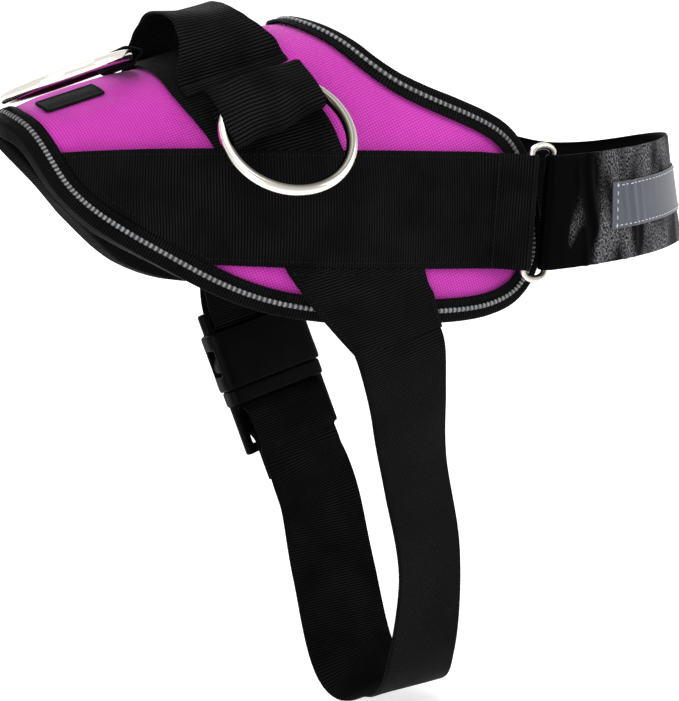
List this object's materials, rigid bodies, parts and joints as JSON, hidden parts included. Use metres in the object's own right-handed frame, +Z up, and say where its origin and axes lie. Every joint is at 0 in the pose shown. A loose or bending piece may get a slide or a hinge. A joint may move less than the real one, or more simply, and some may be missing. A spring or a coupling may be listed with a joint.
{
  "type": "no pull dog harness",
  "caption": "Padded saddle dog harness with a carrying handle, swinging leash rings, a chest strap on link rings and a girth strap with a side-release buckle.",
  "frame": {"origin": "on the dog's back, on the underside of the saddle's ridge below the carrying handle", "axes": "+X forward along the dog's spine, +Y to the dog's left, +Z up"},
  "size_m": [0.3202, 0.158, 0.3383],
  "materials": {
    "fuchsia_nylon": "woven, matt",
    "grey_foam": "closed-cell foam",
    "black_lining": "spacer mesh",
    "black_binding": "ribbed grosgrain",
    "black_webbing": "woven webbing",
    "black_pile": "satin loop pile",
    "reflective_grey": "retroreflective",
    "black_rubber": "satin",
    "nickel_steel": "bright nickel plate",
    "black_acetal": "satin moulded"
  },
  "bodies": {
    "harness": {"saddle_shell": "fuchsia_nylon", "saddle_foam": "grey_foam", "saddle_lining": "black_lining", "edge_binding": "black_binding", "reflective_piping": "reflective_grey", "side_band_right": "black_webbing", "side_band_left": "black_webbing", "band_bartack_right": "black_webbing", "band_bartack_left": "black_webbing", "handle_base_strap": "black_webbing", "top_handle": "black_webbing", "label_tab": "black_rubber", "girth_anchor_right": "black_webbing", "girth_anchor_left": "black_webbing", "girth_strap": "black_webbing", "girth_short_strap": "black_webbing", "buckle_male": "black_acetal"},
    "ring_right": {"o_ring_right": "nickel_steel", "ring_loop_right": "black_webbing"},
    "ring_left": {"o_ring_left": "nickel_steel", "ring_loop_left": "black_webbing"},
    "leash": {"leash_ring": "nickel_steel", "leash_keeper": "black_webbing"},
    "link_right": {"link_ring_right": "nickel_steel"},
    "link_left": {"link_ring_left": "nickel_steel"},
    "chest": {"chest_strap": "black_pile", "reflective_strip": "reflective_grey"},
    "tab_right": {"chest_tab_right": "black_webbing"},
    "tab_left": {"chest_tab_left": "black_webbing"},
    "socket": {"buckle_female": "black_acetal"},
    "catch_rear": {"prong_rear": "black_acetal"},
    "catch_front": {"prong_front": "black_acetal"}
  },
  "joints": [
    {"name": "right_ring_swing", "type": "hinge", "parent": "harness", "child": "ring_right", "pos_m": [-0.00847, -0.03667, -0.00217], "axis": [-1, 0, 0], "range_deg": [0, 75]},
    {"name": "left_ring_swing", "type": "hinge", "parent": "harness", "child": "ring_left", "pos_m": [-0.00847, 0.03667, -0.00217], "axis": [1, 0, 0], "range_deg": [0, 75]},
    {"name": "leash_ring_swing", "type": "hinge", "parent": "harness", "child": "leash", "pos_m": [-0.0425, 0, 0.0126], "axis": [0, 0.9613, -0.2756], "range_deg": [0, 80]},
    {"name": "right_link_swing", "type": "hinge", "parent": "harness", "child": "link_right", "pos_m": [0.09093, -0.07162, -0.09065], "axis": [0.3057, 0, 0.9521], "range_deg": [-10, 10]},
    {"name": "chest_strap_sway", "type": "hinge", "parent": "link_right", "child": "chest", "pos_m": [0.1014, -0.07162, -0.09401], "axis": [0.3057, 0, 0.9521], "range_deg": [-10, 10]},
    {"name": "left_link_swing", "type": "hinge", "parent": "harness", "child": "link_left", "pos_m": [0.09093, 0.07162, -0.09065], "axis": [0.3057, 0, 0.9521], "range_deg": [-10, 10]},
    {"name": "right_tab_peel", "type": "hinge", "parent": "chest", "child": "tab_right", "pos_m": [0.10226, -0.06832, -0.09429], "axis": [0.3057, 0, 0.9521], "range_deg": [0, 25]},
    {"name": "left_tab_peel", "type": "hinge", "parent": "chest", "child": "tab_left", "pos_m": [0.10226, 0.06832, -0.09429], "axis": [-0.3057, 0, -0.9521], "range_deg": [0, 25]},
    {"name": "buckle_release", "type": "slide", "parent": "harness", "child": "socket", "axis": [0, 0.289, 0.9573], "range_m": [0, 0.028], "deforming": ["girth_short_strap", "prong_front", "prong_rear"]},
    {"name": "rear_prong_squeeze", "type": "hinge", "parent": "harness", "child": "catch_rear", "pos_m": [0.007, 0.06144, -0.16532], "axis": [0, 0.9573, -0.289], "range_deg": [0, 15], "stiffness_Nm_per_rad": 0.6},
    {"name": "front_prong_squeeze", "type": "hinge", "parent": "harness", "child": "catch_front", "pos_m": [0.031, 0.06144, -0.16532], "axis": [0, -0.9573, 0.289], "range_deg": [0, 15], "stiffness_Nm_per_rad": 0.6}
  ],
  "couplings": [
    {"joint": "chest_strap_sway", "follows": "right_link_swing", "ratio": -1},
    {"joint": "left_link_swing", "follows": "right_link_swing", "ratio": 1},
    {"joint": "front_prong_squeeze", "follows": "rear_prong_squeeze", "ratio": 1}
  ]
}
